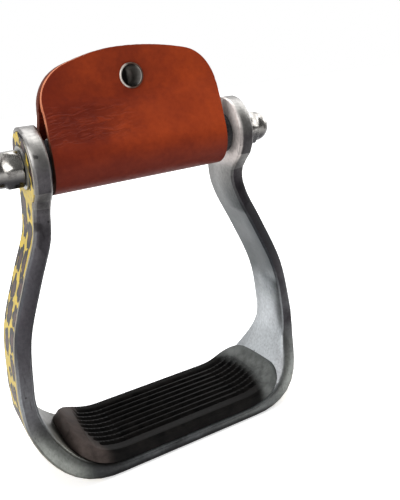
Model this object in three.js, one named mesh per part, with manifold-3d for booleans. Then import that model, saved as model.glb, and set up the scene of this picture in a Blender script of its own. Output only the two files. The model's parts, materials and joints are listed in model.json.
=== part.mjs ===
// Western riding stirrup: a cast aluminium frame with printed side overlays, a rubber tread pad,
// and a top bolt that carries a roller and a folded leather cover.
// Millimetres. +X across the stirrup, -Y to the front, +Z up, z = 0 on the underside of the tread.
import * as THREE from 'three';
import { mergeVertices } from 'three/addons/utils/BufferGeometryUtils.js';
import Module from 'manifold-3d';

const wasm = await Module();
wasm.setup();

// Clearances shared by every piece
const seatGap = 0.3; // between two pieces that touch
const runningGap = 0.2; // radial play of the turning pieces
const cutOverrun = 2; // how far a cutter passes the face it leaves by

// Frame casting
const neckGap = 78.2; // clear width between the two heads
const bellyGap = 118.2; // widest clear width between the arms
const boltHeight = 127.7; // bolt axis above the underside
const boltForward = 8.6; // bolt axis ahead of the middle of the tread
const headRadius = 14.4;
const headThickness = 6.3;
const armThickness = 6.1;
const treadThickness = 5;
const treadDepth = 46; // front to back
const cornerRadius = 31; // inside bend between the tread and an arm
const underRadius = 31; // bend of the outer face at the same corner
const neckDepth = 20.6; // front to back of an arm under its head
const footDepth = 22; // the same where an arm starts to spread to the tread
const innerShift = 1.5; // how far the inner face of an arm sits ahead of its outer face
const neckFillet = 12; // hollow under the head at the front edge
const backEase = 24; // height over which the back edge leans in to the head
const flareFrontHeight = 29; // where the front edge starts to spread to the tread
const flareBackHeight = 38;
const frameEdge = 0.9; // broken edges of the casting
const thicknessEase = 22; // height over which the wall changes thickness
const boltClearance = 0.4; // round the rod in the bores of the heads

// Arm curve of the inner face: share of the height from the corner to the bolt axis,
// then share of the way out from the neck to the belly
const armCurveShares = [
  [0, 1],
  [0.073, 0.985],
  [0.297, 0.842],
  [0.522, 0.444],
  [0.69, 0.112],
  [0.825, 0.01],
  [1, 0],
];

// Printed overlays, sunk in a shallow pocket of the outer faces
const overlayRim = 1.3; // metal rim left round the pocket
const overlayThickness = 0.9;
const overlayProud = 0.3; // how far the resin stands out of the pocket
const overlayEndAngle = 21; // degrees of the corner bend left bare at the underside

// Top bolt, acorn nuts and washers
const rodRadius = 4;
const rodChamfer = 0.8;
const nutAcrossFlats = 13;
const nutHexHeight = 6.5;
const nutDomeRadius = 6.2;
const nutHeight = 14;
const nutBoreDepth = 10;
const nutCornerChamfer = 0.7;
const washerRadius = 8;
const washerThickness = 1.6;

// Roller on the bolt
const rollerRadius = 8.7;
const rollerWall = 1.6;
const bushFlangeDrop = 0.4; // the bush flange stays this much inside the tube's outside
const bushFlangeThickness = 3.4;
const bushBarrelLength = 10;

// Leather cover folded over the roller
const leatherThickness = 3;
const leatherSideGap = 3.4; // between the cover and each head
const leatherTop = 38.2; // top of the flaps above the bolt axis
const rivetPinch = 21.8; // where the two plies meet at the rivet, above the bolt axis
const endPinch = 25; // where they meet at the ends of the cover
const pinchFlat = 7; // half length of the part that the rivet clamps flat
const pinchEase = 17; // length over which the plies open from it towards the ends
const leatherBend = 8; // radius of the soft bend at the pinch
const plyGap = 0.4; // between the two plies
const flapCornerRadius = 15;
const flapArchRadius = 105;

// Hollow rivet through both plies, open to the front and closed at the back
const rivetHeight = 27.2; // above the bolt axis
const rivetHoleRadius = 3.8;
const rivetWall = 0.3;
const rivetFlangeWidth = 1; // from the edge of the hole
const rivetFlangeThickness = 0.7;

// Rubber tread pad with its steel backing plate
const padThickness = 5.1;
const padForward = 0.6; // how far the pad sits ahead of the middle of the tread
const padSetback = 0.8; // inside the front and back edges of the tread
const padEndAngle = 49.5; // degrees that the pad ends climb round the corner bend
const padCornerRadius = 15;
const padEdge = 1.1;
const grooveCount = 9;
const grooveWidth = 2.6;
const groovePitch = 3.9;
const grooveDepth = 1.2;
const grooveEndMargin = 9;
const grooveEndBow = 4; // how much shorter the outermost grooves are at each end
const plateLength = 54;
const plateDepth = 26;
const plateThickness = 1.6;
const plateCornerRadius = 4;

// Countersunk screws that hold the pad from below
const screwInsetX = 11; // from the ends of the plate
const screwInsetY = 5; // from its front and back
const screwRadius = 1.95;
const screwHeadRadius = 3.8;
const screwHeadSink = 0.4; // head face above the underside
const screwSocketRadius = 1.4;
const screwSocketDepth = 1.4;

// Worked out from the values above
const neckHalf = neckGap / 2;
const bellyHalf = bellyGap / 2;
const cornerHeight = treadThickness + cornerRadius;
const footHalf = neckHalf + (bellyHalf - neckHalf) * armCurveShares[0][1];
const flatHalf = footHalf - cornerRadius;
const underHalf = footHalf + armThickness - underRadius;
const headOuter = neckHalf + headThickness;
const washerSeat = headOuter - overlayThickness + seatGap;
const nutSeat = washerSeat + washerThickness + seatGap;
const rodHalf = nutSeat + nutBoreDepth - seatGap;
const rollerHalf = neckHalf - bushFlangeThickness - 2 * seatGap;
const boreRadius = rodRadius + boltClearance;
const leatherWidth = neckGap - 2 * leatherSideGap;
const rivetBarrelRadius = rivetHoleRadius + rivetWall;
const rivetFlangeRadius = rivetHoleRadius + rivetFlangeWidth;
const padDepth = treadDepth - 2 * padSetback;
const boltAxis = new THREE.Vector3(0, -boltForward, boltHeight);

// How finely curves are cut
const cornerSteps = 12;
const armSteps = 30;
const headSteps = 12;
const lastHeadAngle = 85;
const roundSides = 40;
const smallSides = 24;
const padEndSteps = 9;
const coverSteps = 16;
const foldSteps = 18;
const bendSteps = 4;

const toRadians = THREE.MathUtils.degToRad;
const smooth = (t) => THREE.MathUtils.smoothstep(t, 0, 1);
const mix = THREE.MathUtils.lerp;

// Materials, one per sub-part kind
function finish(color, roughness, metalness) {
  return new THREE.MeshStandardMaterial({ color, roughness, metalness });
}
const castAluminium = () => finish(0xa8acb0, 0.35, 1);
const leopardResin = () => finish(0xd9b83a, 0.15, 0);
const chromePlate = () => finish(0xd8dadc, 0.08, 1);
const zincSteel = () => finish(0x9a9c9e, 0.4, 1);
const blackNylon = () => finish(0x1a1a1c, 0.6, 0);
const redBrownLeather = () => finish(0x8a3520, 0.55, 0);
const blackRubber = () => finish(0x1c1a1b, 0.8, 0);

// Solids to and from the boolean library
function solid(geometry) {
  const bare = geometry.clone();
  bare.deleteAttribute('normal');
  bare.deleteAttribute('uv');
  const merged = mergeVertices(bare);
  return new wasm.Manifold(
    new wasm.Mesh({
      numProp: 3,
      vertProperties: new Float32Array(merged.attributes.position.array),
      triVerts: new Uint32Array(merged.index.array),
    }),
  );
}

function geometryOf(body) {
  const mesh = body.getMesh();
  const geometry = new THREE.BufferGeometry();
  geometry.setAttribute('position', new THREE.BufferAttribute(new Float32Array(mesh.vertProperties), 3));
  geometry.setIndex(new THREE.BufferAttribute(new Uint32Array(mesh.triVerts), 1));
  return geometry;
}

function cut(geometry, ...cutters) {
  return geometryOf(cutters.reduce((body, cutter) => body.subtract(solid(cutter)), solid(geometry)));
}

function join(first, ...others) {
  return geometryOf(others.reduce((body, other) => body.add(solid(other)), solid(first)));
}

function keepInside(geometry, envelope) {
  return geometryOf(solid(geometry).intersect(solid(envelope)));
}

// A solid through a row of rings of equal count, each clockwise as seen from the row's end
function loft(rings) {
  const sides = rings[0].length;
  const points = rings.flat();
  const faces = [];
  for (let ring = 0; ring < rings.length - 1; ring += 1) {
    for (let side = 0; side < sides; side += 1) {
      const a = ring * sides + side;
      const b = ring * sides + ((side + 1) % sides);
      faces.push(a, b + sides, b, a, a + sides, b + sides);
    }
  }
  const last = (rings.length - 1) * sides;
  for (let side = 1; side < sides - 1; side += 1) {
    faces.push(0, side, side + 1);
    faces.push(last, last + side + 1, last + side);
  }
  const geometry = new THREE.BufferGeometry();
  geometry.setAttribute('position', new THREE.Float32BufferAttribute(points.flatMap((p) => p.toArray()), 3));
  geometry.setIndex(faces);
  return geometry;
}

// A turned piece about the Z axis from [radius, height] pairs
function turned(profile, sides = roundSides) {
  const points = profile.map(([radius, height]) => new THREE.Vector2(radius, height));
  return new THREE.LatheGeometry(points, sides).rotateX(Math.PI / 2);
}

function rod(radius, from, to, sides = roundSides) {
  return turned([[0, from], [radius, from], [radius, to], [0, to]], sides);
}

function ring(inner, outer, from, to, sides = roundSides) {
  return turned([[inner, from], [outer, from], [outer, to], [inner, to], [inner, from]], sides);
}

// Turn a piece made along Z so that it lies along X through the bolt axis
function alongBolt(geometry, side = 1) {
  return geometry.rotateY((side * Math.PI) / 2).translate(boltAxis.x, boltAxis.y, boltAxis.z);
}

// Turn a piece made along Z so that it lies along Y, its start to the front
function alongDepth(geometry) {
  return geometry.rotateX(-Math.PI / 2);
}

// Frame line: stations on the inner face, each with its outward normal and wall
function wallAt(z) {
  const belowHead = boltHeight - headRadius - z;
  return mix(armThickness, headThickness, smooth(1 - belowHead / thicknessEase));
}

function station(x, z, nx, nz, wall = wallAt(z)) {
  return { x, z, nx, nz, wall, edgeHeight: z + nz * wall };
}

// Wall in the corner: along the normal of the inner bend as far as the outer face
function cornerWall(x, z, sin, cos) {
  const fromX = x - underHalf;
  const fromZ = z - underRadius;
  const along = fromX * sin - fromZ * cos;
  const toBend = Math.sqrt(along ** 2 + underRadius ** 2 - fromX ** 2 - fromZ ** 2) - along;
  if (x + toBend * sin < underHalf) {
    return z / cos;
  }
  if (z - toBend * cos > underRadius) {
    return (footHalf + armThickness - x) / sin;
  }
  return toBend;
}

// Tread and corner bend, by the distance along the inner face from the middle
function treadStation(distance) {
  if (distance <= flatHalf) {
    return station(distance, treadThickness, 0, -1, treadThickness);
  }
  const turn = (distance - flatHalf) / cornerRadius;
  const sin = Math.sin(turn);
  const cos = Math.cos(turn);
  const x = flatHalf + cornerRadius * sin;
  const z = cornerHeight - cornerRadius * cos;
  return station(x, z, sin, -cos, cornerWall(x, z, sin, cos));
}

const armCurve = new THREE.SplineCurve(
  armCurveShares.map(
    ([up, out]) => new THREE.Vector2(mix(neckHalf, bellyHalf, out), mix(cornerHeight, boltHeight, up)),
  ),
);

function armStations() {
  const stations = [];
  for (let step = 1; step < armSteps; step += 1) {
    const at = armCurve.getPoint(step / armSteps);
    const along = armCurve.getTangent(step / armSteps);
    stations.push(station(at.x, at.y, along.y, -along.x));
  }
  return stations;
}

function headStations(inset) {
  const stations = [];
  for (let step = 0; step <= headSteps; step += 1) {
    const angle = toRadians((lastHeadAngle * step) / headSteps);
    stations.push(station(neckHalf, boltHeight + (headRadius - inset) * Math.sin(angle), 1, 0));
  }
  return stations;
}

function cornerStations(fromAngle) {
  const stations = [];
  for (let step = 0; step <= cornerSteps; step += 1) {
    const turn = toRadians(mix(fromAngle, 90, step / cornerSteps));
    stations.push(treadStation(flatHalf + cornerRadius * turn));
  }
  return stations;
}

// A size that changes evenly up the arm, from above the corner to under the head
function alongArm(height, low, high) {
  const share = (height - cornerHeight) / (boltHeight - headRadius - cornerHeight);
  return mix(low, high, THREE.MathUtils.clamp(share, 0, 1));
}

// Front and back edges of the frame, by height on the outer face
function frontEdge(height, inset) {
  const radius = headRadius - inset;
  const fillet = neckFillet + inset;
  const reach = neckDepth / 2 - boltForward + neckFillet;
  const filletDrop = Math.sqrt((headRadius + neckFillet) ** 2 - reach ** 2);
  const tangentDrop = (filletDrop * radius) / (headRadius + neckFillet);
  const drop = boltHeight - height;
  if (drop < tangentDrop) {
    return -boltForward - Math.sqrt(Math.max(radius ** 2 - drop ** 2, 0));
  }
  if (drop < filletDrop) {
    return -boltForward - reach + Math.sqrt(fillet ** 2 - (filletDrop - drop) ** 2);
  }
  const spread = smooth((flareFrontHeight - height) / flareFrontHeight);
  return inset - mix(alongArm(height, footDepth, neckDepth), treadDepth, spread) / 2;
}

function backEdge(height, inset) {
  const radius = headRadius - inset;
  const drop = boltHeight - height;
  if (drop < 0) {
    return Math.sqrt(Math.max(radius ** 2 - drop ** 2, 0)) - boltForward;
  }
  const lean = smooth(1 - drop / backEase);
  const spread = smooth((flareBackHeight - height) / flareBackHeight);
  const edge = mix(alongArm(height, footDepth, neckDepth) / 2, headRadius - boltForward, lean);
  return mix(edge, treadDepth / 2, spread) - inset;
}

// The inner face sits ahead of the outer one along the arms only
function shiftAt(height) {
  const aboveFlare = smooth((height - cornerHeight) / thicknessEase);
  const belowHead = smooth((boltHeight - height - headRadius) / headRadius);
  return innerShift * aboveFlare * belowHead;
}

function placed(at, y, depth) {
  return new THREE.Vector3(at.x + at.nx * depth, y, at.z + at.nz * depth);
}

function frameRing(at) {
  const front = frontEdge(at.edgeHeight, 0);
  const back = backEdge(at.edgeHeight, 0);
  const shift = shiftAt(at.edgeHeight);
  const edge = Math.min(frameEdge, (back - front) / 4);
  const { wall } = at;
  return [
    placed(at, front + edge, wall),
    placed(at, front, wall - edge),
    placed(at, front - shift, edge),
    placed(at, front + edge - shift, 0),
    placed(at, back - edge - shift, 0),
    placed(at, back - shift, edge),
    placed(at, back, wall - edge),
    placed(at, back - edge, wall),
  ];
}

// A strip on the outer face, from one depth in the wall to another
function stripRing(at, inset, inner, outer) {
  const front = frontEdge(at.edgeHeight, inset);
  const back = backEdge(at.edgeHeight, inset);
  return [
    placed(at, front, at.wall + outer),
    placed(at, front, at.wall + inner),
    placed(at, back, at.wall + inner),
    placed(at, back, at.wall + outer),
  ];
}

function mirroredStations(stations) {
  return stations.map((at) => ({ ...at, x: -at.x, nx: -at.nx })).reverse();
}

function frameShell() {
  const right = [...cornerStations(0), ...armStations(), ...headStations(0)];
  return loft([...mirroredStations(right), ...right].map(frameRing));
}

// The pocket and its overlay share one line; side is 1 on the right and -1 on the left
function outerStrip(side, inset, inner, outer, endAngle) {
  const right = [...cornerStations(endAngle), ...armStations(), ...headStations(inset)];
  const stations = side > 0 ? right : mirroredStations(right);
  return loft(stations.map((at) => stripRing(at, inset, inner, outer)));
}

function overlay(side) {
  const strip = outerStrip(
    side,
    overlayRim + seatGap,
    seatGap - overlayThickness,
    overlayProud,
    overlayEndAngle,
  );
  const washerHole = alongBolt(rod(washerRadius + seatGap, 0, headOuter + cutOverrun), side);
  return cut(strip, washerHole);
}

function overlayPocket(side) {
  const gapTurn = seatGap / (cornerRadius + treadThickness);
  const pocketEndAngle = overlayEndAngle - THREE.MathUtils.radToDeg(gapTurn);
  return outerStrip(side, overlayRim, -overlayThickness, cutOverrun, pocketEndAngle);
}

// Screw places under the tread
const screwX = plateLength / 2 - screwInsetX;
const screwY = plateDepth / 2 - screwInsetY;
const screwPlaces = [-1, 1].flatMap((alongX) =>
  [-1, 1].map((alongY) => new THREE.Vector3(alongX * screwX, alongY * screwY, 0)),
);

function screwHole(place) {
  const radius = screwRadius + seatGap;
  const mouth = screwHeadRadius + seatGap;
  const coneTop = screwHeadSink + mouth - radius;
  return turned(
    [
      [0, -cutOverrun],
      [mouth, -cutOverrun],
      [mouth, screwHeadSink],
      [radius, coneTop],
      [radius, treadThickness + cutOverrun],
      [0, treadThickness + cutOverrun],
    ],
    smallSides,
  ).translate(place.x, place.y, 0);
}

// Flat seat for the washer, level with the floor of the overlay pocket
function spotFace(side) {
  return alongBolt(rod(washerRadius + seatGap, washerSeat - seatGap, nutSeat), side);
}

function frame() {
  const bolt = alongBolt(rod(boreRadius, -headOuter - cutOverrun, headOuter + cutOverrun));
  const sides = [1, -1].flatMap((side) => [overlayPocket(side), spotFace(side)]);
  return cut(frameShell(), bolt, ...sides, ...screwPlaces.map(screwHole));
}

function padScrew(place) {
  const coneTop = screwHeadSink + screwHeadRadius - screwRadius;
  const tip = treadThickness + seatGap + plateThickness;
  const body = turned(
    [
      [0, screwHeadSink],
      [screwHeadRadius, screwHeadSink],
      [screwRadius, coneTop],
      [screwRadius, tip],
      [0, tip],
    ],
    smallSides,
  );
  const socket = new THREE.CylinderGeometry(screwSocketRadius, screwSocketRadius, 2 * screwSocketDepth, 6)
    .rotateX(Math.PI / 2)
    .translate(0, 0, screwHeadSink);
  return cut(body, socket).translate(place.x, place.y, 0);
}

// Rubber pad: a strip over the tread whose ends climb the corner bends
const padReach = flatHalf + cornerRadius * toRadians(padEndAngle);
const padTop = seatGap + padThickness; // above the inner face of the tread

// Places along a strip whose ends are rounded in plan, with the half depth at each
function roundedStrip(reach, halfDepth, radius, firstAngle, endSteps) {
  const end = [];
  for (let step = 0; step <= endSteps; step += 1) {
    const angle = toRadians(mix(90, firstAngle, step / endSteps));
    end.push([reach - radius + radius * Math.cos(angle), halfDepth - radius + radius * Math.sin(angle)]);
  }
  const bend = [];
  for (let step = 1; flatHalf + (cornerRadius * step) / cornerSteps < reach - radius; step += 1) {
    bend.push([flatHalf + (cornerRadius * step) / cornerSteps, halfDepth]);
  }
  const right = reach - radius > flatHalf ? [[flatHalf, halfDepth], ...bend, ...end] : end;
  return [...right.map(([distance, half]) => [-distance, half]).reverse(), ...right];
}

function stationAt(distance) {
  const at = treadStation(Math.abs(distance));
  return distance < 0 ? { ...at, x: -at.x, nx: -at.nx } : at;
}

function padRing([distance, half]) {
  const at = stationAt(distance);
  const front = -half - padForward;
  const back = half - padForward;
  return [
    placed(at, front, -seatGap),
    placed(at, front, padEdge - padTop),
    placed(at, front + padEdge, -padTop),
    placed(at, back - padEdge, -padTop),
    placed(at, back, padEdge - padTop),
    placed(at, back, -seatGap),
  ];
}

function groove(index) {
  const offset = index - (grooveCount - 1) / 2;
  const middle = offset * groovePitch - padForward;
  const bow = grooveEndBow * ((2 * offset) / (grooveCount - 1)) ** 2;
  const reach = padReach - grooveEndMargin - bow;
  const places = roundedStrip(reach, grooveWidth / 2, grooveWidth / 2, 20, 4);
  return loft(
    places.map(([distance, half]) => {
      const at = stationAt(distance);
      return [
        placed(at, middle - half, grooveDepth - padTop),
        placed(at, middle - half, -padTop - cutOverrun),
        placed(at, middle + half, -padTop - cutOverrun),
        placed(at, middle + half, grooveDepth - padTop),
      ];
    }),
  );
}

function roundedPlate(length, depth, radius, thickness) {
  const x = length / 2;
  const y = depth / 2;
  const outline = new THREE.Shape()
    .absarc(x - radius, y - radius, radius, 0, Math.PI / 2)
    .absarc(radius - x, y - radius, radius, Math.PI / 2, Math.PI)
    .absarc(radius - x, radius - y, radius, Math.PI, 1.5 * Math.PI)
    .absarc(x - radius, radius - y, radius, 1.5 * Math.PI, 2 * Math.PI);
  return new THREE.ExtrudeGeometry(outline, { depth: thickness, bevelEnabled: false, curveSegments: 6 });
}

function treadPad() {
  const strip = loft(roundedStrip(padReach, padDepth / 2, padCornerRadius, 0, padEndSteps).map(padRing));
  const recess = roundedPlate(
    plateLength + 2 * seatGap,
    plateDepth + 2 * seatGap,
    plateCornerRadius,
    cutOverrun + 2 * seatGap + plateThickness,
  ).translate(0, 0, treadThickness - cutOverrun);
  const grooves = Array.from({ length: grooveCount }, (_, index) => groove(index));
  return cut(strip, recess, ...grooves);
}

function padPlate() {
  const plate = roundedPlate(plateLength, plateDepth, plateCornerRadius, plateThickness).translate(
    0,
    0,
    treadThickness + seatGap,
  );
  const holes = screwPlaces.map((place) =>
    rod(screwRadius + runningGap, treadThickness, treadThickness + plateThickness + cutOverrun, smallSides)
      .translate(place.x, place.y, 0),
  );
  return cut(plate, ...holes);
}

// Top bolt: a plain rod with an acorn nut and a washer at each end
function topRod() {
  return alongBolt(
    turned([
      [0, -rodHalf],
      [rodRadius - rodChamfer, -rodHalf],
      [rodRadius, rodChamfer - rodHalf],
      [rodRadius, rodHalf - rodChamfer],
      [rodRadius - rodChamfer, rodHalf],
      [0, rodHalf],
    ]),
  );
}

function acornNut(side) {
  const cornerReach = nutAcrossFlats / Math.sqrt(3);
  const hex = new THREE.CylinderGeometry(cornerReach, cornerReach, nutHexHeight, 6)
    .rotateX(Math.PI / 2)
    .translate(0, 0, nutHexHeight / 2);
  const envelope = turned([
    [0, 0],
    [cornerReach - nutCornerChamfer, 0],
    [cornerReach, nutCornerChamfer],
    [cornerReach, nutHexHeight - nutCornerChamfer],
    [cornerReach - 2 * nutCornerChamfer, nutHexHeight],
    [0, nutHexHeight],
  ]);
  const domeStart = nutHeight - nutDomeRadius;
  const arc = Array.from({ length: 9 }, (_, step) => (step * Math.PI) / 2 / 8);
  const dome = turned([
    [0, nutHexHeight - nutCornerChamfer],
    [nutDomeRadius, nutHexHeight - nutCornerChamfer],
    ...arc.map((angle) => [
      angle < Math.PI / 2 ? nutDomeRadius * Math.cos(angle) : 0,
      domeStart + nutDomeRadius * Math.sin(angle),
    ]),
  ]);
  const bore = rod(rodRadius + runningGap, -cutOverrun, nutBoreDepth);
  const nut = cut(join(keepInside(hex, envelope), dome), bore);
  return alongBolt(nut.translate(0, 0, nutSeat), side);
}

function flatWasher(side) {
  return alongBolt(
    ring(rodRadius + seatGap, washerRadius, washerSeat, washerSeat + washerThickness),
    side,
  );
}

// Roller: a steel tube that turns on two flanged bushes
function rollerTube() {
  return alongBolt(ring(rollerRadius - rollerWall, rollerRadius, -rollerHalf, rollerHalf));
}

function flangedBush(side) {
  const bore = rodRadius + runningGap;
  const barrel = rollerRadius - rollerWall - runningGap;
  const flange = rollerRadius - bushFlangeDrop;
  const flangeStart = rollerHalf + seatGap;
  return alongBolt(
    turned([
      [bore, flangeStart - bushBarrelLength],
      [barrel, flangeStart - bushBarrelLength],
      [barrel, flangeStart],
      [flange, flangeStart],
      [flange, flangeStart + bushFlangeThickness],
      [bore, flangeStart + bushFlangeThickness],
      [bore, flangeStart - bushBarrelLength],
    ]),
    side,
  );
}

// Leather cover: its side profile at one place along the bolt, as [depth, height] of the middle line
function coverLine(pinchHeight) {
  const middleRadius = rollerRadius + seatGap + leatherThickness / 2;
  const plyMiddle = (plyGap + leatherThickness) / 2;
  const pinch = new THREE.Vector2(plyMiddle, pinchHeight);
  const leaveAngle = Math.atan2(pinch.x, pinch.y) + Math.acos(middleRadius / pinch.length());
  const leave = new THREE.Vector2(Math.sin(leaveAngle), Math.cos(leaveAngle)).multiplyScalar(middleRadius);
  const toLeave = leave.clone().sub(pinch).normalize();
  const bendLength = leatherBend * Math.tan((Math.PI - toLeave.angleTo(new THREE.Vector2(0, 1))) / 2);
  const bendStart = new THREE.Vector2(pinch.x, pinch.y + bendLength);
  const bendEnd = pinch.clone().addScaledVector(toLeave, bendLength);
  const bend = new THREE.QuadraticBezierCurve(bendStart, pinch, bendEnd).getPoints(bendSteps);
  const arc = Array.from({ length: foldSteps + 1 }, (_, step) => {
    const angle = mix(leaveAngle, Math.PI, step / foldSteps);
    return new THREE.Vector2(Math.sin(angle), Math.cos(angle)).multiplyScalar(middleRadius);
  });
  const back = [new THREE.Vector2(plyMiddle, leatherTop + cutOverrun), ...bend, ...arc];
  const front = back.slice(0, -1).reverse().map((p) => new THREE.Vector2(-p.x, p.y));
  return [...back, ...front];
}

// The two faces of the leather at one place along the bolt
function coverRing(x) {
  const open = smooth((Math.abs(x) - pinchFlat) / pinchEase);
  const line = coverLine(mix(rivetPinch, endPinch, open));
  const offset = (distance) =>
    line.map((point, index) => {
      const before = line[Math.max(index - 1, 0)];
      const after = line[Math.min(index + 1, line.length - 1)];
      const along = after.clone().sub(before).normalize();
      return new THREE.Vector3(x, point.x - along.y * distance, point.y + along.x * distance);
    });
  return [...offset(leatherThickness / 2), ...offset(-leatherThickness / 2).reverse()];
}

function flapOutline() {
  const half = leatherWidth / 2;
  const archCentre = leatherTop - flapArchRadius;
  const cornerX = half - flapCornerRadius;
  const cornerZ = archCentre + Math.sqrt((flapArchRadius - flapCornerRadius) ** 2 - cornerX ** 2);
  const meetAngle = Math.atan2(cornerZ - archCentre, cornerX);
  const low = -rollerRadius - leatherThickness - cutOverrun;
  return new THREE.Shape()
    .moveTo(-half, low)
    .lineTo(half, low)
    .absarc(cornerX, cornerZ, flapCornerRadius, 0, meetAngle)
    .absarc(0, archCentre, flapArchRadius, meetAngle, Math.PI - meetAngle)
    .absarc(-cornerX, cornerZ, flapCornerRadius, Math.PI - meetAngle, Math.PI);
}

function leatherCover() {
  const coverDepth = 2 * (rollerRadius + leatherThickness + cutOverrun);
  const half = leatherWidth / 2 + cutOverrun;
  const places = Array.from({ length: coverSteps + 1 }, (_, step) => mix(-half, half, step / coverSteps));
  const fold = loft(places.map(coverRing));
  const outline = new THREE.ExtrudeGeometry(flapOutline(), {
    depth: coverDepth,
    bevelEnabled: false,
    curveSegments: 10,
  });
  outline.rotateX(Math.PI / 2).translate(0, coverDepth / 2, 0);
  const hole = alongDepth(rod(rivetBarrelRadius + seatGap, -coverDepth, coverDepth, smallSides))
    .translate(0, 0, rivetHeight);
  return cut(keepInside(fold, outline), hole).translate(boltAxis.x, boltAxis.y, boltAxis.z);
}

// Hollow rivet: front flange, barrel and closed back flange in one turned piece
const flapFace = plyGap / 2 + leatherThickness; // outer face of a flap from the bolt axis

function hollowRivet() {
  const front = -flapFace - seatGap;
  const back = flapFace + 2 * seatGap + rivetFlangeThickness;
  const end = back + rivetFlangeThickness;
  return alongDepth(
    turned(
      [
        [rivetHoleRadius, front - rivetFlangeThickness],
        [rivetFlangeRadius, front - rivetFlangeThickness],
        [rivetFlangeRadius, front],
        [rivetBarrelRadius, front],
        [rivetBarrelRadius, back],
        [rivetFlangeRadius, back],
        [rivetFlangeRadius, end],
        [0, end],
        [0, end - rivetFlangeThickness],
        [rivetHoleRadius, end - rivetFlangeThickness],
        [rivetHoleRadius, front - rivetFlangeThickness],
      ],
      smallSides,
    ),
  ).translate(boltAxis.x, boltAxis.y, boltAxis.z + rivetHeight);
}

function rivetWasher() {
  const start = flapFace + seatGap;
  const reach = 2 * rivetFlangeRadius - rivetBarrelRadius;
  return alongDepth(
    ring(rivetBarrelRadius + seatGap, reach, start, start + rivetFlangeThickness, smallSides),
  ).translate(boltAxis.x, boltAxis.y, boltAxis.z + rivetHeight);
}

// Assembly
const stirrup = new THREE.Group();

function addPart(name, geometry, material) {
  const mesh = new THREE.Mesh(geometry, material);
  mesh.name = name;
  stirrup.add(mesh);
}

addPart('frame', frame(), castAluminium());
addPart('overlay_right', overlay(1), leopardResin());
addPart('overlay_left', overlay(-1), leopardResin());
addPart('top_rod', topRod(), zincSteel());
[['right', 1], ['left', -1]].forEach(([name, side]) => {
  addPart(`flat_washer_${name}`, flatWasher(side), zincSteel());
  addPart(`acorn_nut_${name}`, acornNut(side), chromePlate());
  addPart(`roller_bush_${name}`, flangedBush(side), blackNylon());
});
addPart('roller_tube', rollerTube(), zincSteel());
addPart('leather_cover', leatherCover(), redBrownLeather());
addPart('hollow_rivet', hollowRivet(), chromePlate());
addPart('rivet_washer', rivetWasher(), chromePlate());
addPart('tread_pad', treadPad(), blackRubber());
addPart('pad_plate', padPlate(), zincSteel());
screwPlaces.forEach((place, index) => addPart(`pad_screw_${index + 1}`, padScrew(place), zincSteel()));

export default stirrup;
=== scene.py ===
"""A western stirrup: cast frame, printed overlays, rubber tread and leather-covered top bolt.

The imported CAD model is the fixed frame. Its nodes get their finishes here, and the leather cover
and its rivet are made anew. Lengths are metres unless a name ends in _mm.
"""

import json
import logging
import math
from dataclasses import dataclass, field
from enum import Enum

import bmesh
import bpy
import numpy as np
from mathutils import Matrix, Vector

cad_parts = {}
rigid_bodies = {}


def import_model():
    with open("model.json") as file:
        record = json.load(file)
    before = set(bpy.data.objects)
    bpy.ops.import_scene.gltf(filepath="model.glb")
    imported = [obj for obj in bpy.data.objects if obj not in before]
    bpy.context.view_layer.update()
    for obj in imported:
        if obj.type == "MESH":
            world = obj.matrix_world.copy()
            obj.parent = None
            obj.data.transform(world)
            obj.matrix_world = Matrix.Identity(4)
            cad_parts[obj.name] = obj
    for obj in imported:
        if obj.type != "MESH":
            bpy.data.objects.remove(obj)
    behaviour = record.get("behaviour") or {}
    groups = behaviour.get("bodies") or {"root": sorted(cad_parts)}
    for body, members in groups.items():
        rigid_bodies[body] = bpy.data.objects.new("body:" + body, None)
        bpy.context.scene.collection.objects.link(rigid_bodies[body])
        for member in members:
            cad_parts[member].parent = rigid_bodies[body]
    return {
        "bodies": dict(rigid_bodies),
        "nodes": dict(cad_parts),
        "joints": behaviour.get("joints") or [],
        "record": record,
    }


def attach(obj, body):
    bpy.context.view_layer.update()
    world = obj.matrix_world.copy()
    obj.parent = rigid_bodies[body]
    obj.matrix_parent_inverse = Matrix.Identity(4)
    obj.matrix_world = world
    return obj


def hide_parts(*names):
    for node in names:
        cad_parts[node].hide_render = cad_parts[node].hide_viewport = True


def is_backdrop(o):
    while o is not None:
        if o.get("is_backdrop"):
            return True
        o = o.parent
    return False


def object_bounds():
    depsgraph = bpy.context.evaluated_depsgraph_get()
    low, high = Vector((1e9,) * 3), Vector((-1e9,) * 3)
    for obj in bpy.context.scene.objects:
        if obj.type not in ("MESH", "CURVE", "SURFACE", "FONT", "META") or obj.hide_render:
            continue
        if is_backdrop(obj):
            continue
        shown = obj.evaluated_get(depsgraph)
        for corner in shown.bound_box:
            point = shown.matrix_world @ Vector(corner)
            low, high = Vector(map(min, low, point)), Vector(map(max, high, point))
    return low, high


LOG = logging.getLogger("stirrup")
MM = 0.001
BOLT_MM = (0.0, -8.6, 127.7)  # middle of the top bolt
EDGE_SHARE = "edge_share"  # how far a face looks to the front or the back
NOISE_SPAN = (0.3, 0.7)  # where most of a noise lies
WHITE = (1.0, 1.0, 1.0, 1.0)
Socket = bpy.types.NodeSocket
Span = tuple[float, float]
Point = tuple[float, float, float]
Value = Socket | str | float | tuple[float, ...]


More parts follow.
